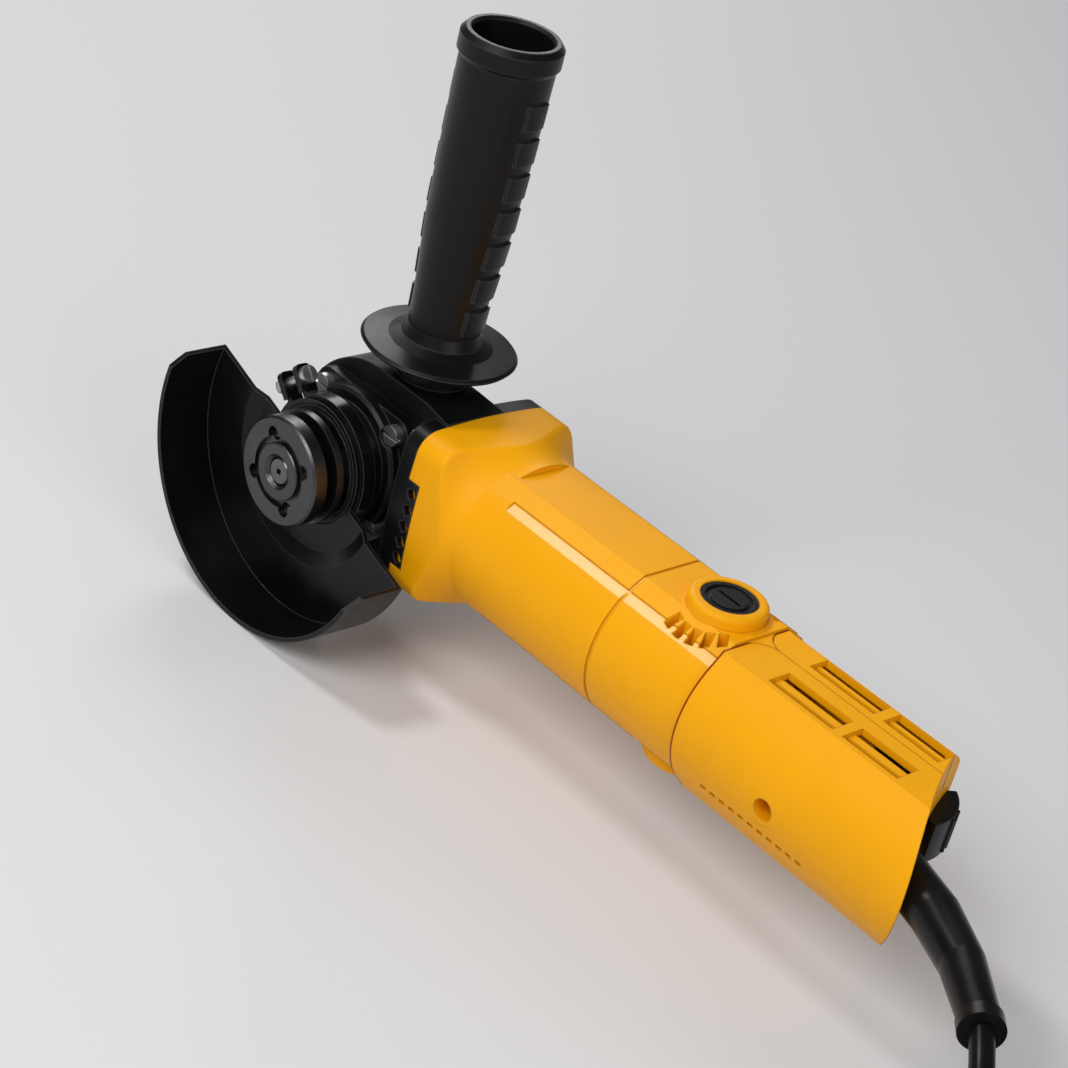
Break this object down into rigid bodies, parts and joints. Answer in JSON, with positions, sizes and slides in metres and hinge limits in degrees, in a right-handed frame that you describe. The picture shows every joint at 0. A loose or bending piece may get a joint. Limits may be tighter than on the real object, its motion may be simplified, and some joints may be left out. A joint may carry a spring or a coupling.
{
  "type": "mini angle grinder",
  "caption": "Corded mini angle grinder: metal gear head with a half-round disc guard, screw-in side handle, round motor body, brush bosses, tail switch and a tied power cord.",
  "frame": {"origin": "centre of the disc seat, on the spindle axis at the front face of the inner flange", "axes": "+X along the motor axis from tail to gear head, +Y along the spindle out to the disc, +Z along the side handle"},
  "size_m": [0.5439, 0.1327, 0.2135],
  "materials": {
    "cast_head": "cast, painted satin black",
    "body_plastic": "moulded, fine-grained, warm yellow",
    "bare_steel": "zinc-plated",
    "bearing_steel": "ground",
    "gear_steel": "cut and hardened",
    "spring_steel": "drawn wire",
    "nut_steel": "blackened",
    "guard_paint": "satin powder coat",
    "black_plastic": "moulded",
    "grip_plastic": "moulded, satin",
    "core_steel": "laminated",
    "copper": "varnished wire",
    "brush_brass": "drawn",
    "brush_carbon": "pressed carbon",
    "cord_rubber": "smooth sheath",
    "tie_plastic": "moulded",
    "pin_metal": "nickel-plated"
  },
  "bodies": {
    "body": {"gear_case": "cast_head", "bearing_cover": "cast_head", "motor_housing": "body_plastic", "rear_cover_near": "body_plastic", "rear_cover_far": "body_plastic", "head_screws": "bare_steel", "bearing_cover_screws": "bare_steel", "bearing_retainer": "bare_steel", "dust_ring": "bare_steel", "handle_stud": "bare_steel", "rear_cover_screw": "bare_steel", "spindle_bearing": "bearing_steel", "needle_bearing": "bearing_steel", "front_motor_bearing": "bearing_steel", "rear_motor_bearing": "bearing_steel", "spindle_lock_spring": "spring_steel", "brush_springs": "spring_steel", "fan_baffle": "black_plastic", "brush_caps": "black_plastic", "switch_body": "black_plastic", "cord_clamp": "black_plastic", "side_handle_grip": "grip_plastic", "stator_core": "core_steel", "field_windings": "copper", "brush_holders": "brush_brass", "carbon_brushes": "brush_carbon", "cord_boot": "cord_rubber", "inner_cord": "cord_rubber", "power_cord": "cord_rubber", "cord_coil": "cord_rubber", "plug_body": "cord_rubber", "coil_tie": "tie_plastic", "plug_pins": "pin_metal"},
    "armature": {"armature_shaft": "bare_steel", "armature_core": "core_steel", "armature_windings": "copper", "commutator": "copper", "fan": "black_plastic", "pinion": "gear_steel", "pinion_nut": "bare_steel"},
    "spindle": {"spindle": "bare_steel", "crown_gear": "gear_steel", "inner_flange": "nut_steel", "lock_nut": "nut_steel"},
    "guard": {"guard": "guard_paint", "guard_clamp_band": "guard_paint", "guard_clamp_screw": "bare_steel"},
    "switch_lever": {"switch_lever": "black_plastic"},
    "lock_button": {"spindle_lock_button": "black_plastic"}
  },
  "joints": [
    {"name": "armature_spin", "type": "hinge", "parent": "body", "child": "armature", "pos_m": [0, -0.0455, 0], "axis": [1, 0, 0], "continuous": true},
    {"name": "spindle_spin", "type": "hinge", "parent": "body", "child": "spindle", "pos_m": [0, 0, 0], "axis": [0, 1, 0], "continuous": true},
    {"name": "guard_turn", "type": "hinge", "parent": "body", "child": "guard", "pos_m": [0, 0, 0], "axis": [0, 1, 0], "range_deg": [-90, 90]},
    {"name": "switch_toggle", "type": "hinge", "parent": "body", "child": "switch_lever", "pos_m": [-0.2267, -0.0519, 0], "axis": [0, 0, 1], "range_deg": [-8, 8]},
    {"name": "spindle_lock_press", "type": "slide", "parent": "body", "child": "lock_button", "axis": [0, 1, 0], "range_m": [0, 0.005], "stiffness_N_per_m": 800, "springref_m": -0.004, "deforming": ["spindle_lock_spring"]}
  ],
  "couplings": [
    {"joint": "spindle_spin", "follows": "armature_spin", "ratio": 0.33333}
  ]
}
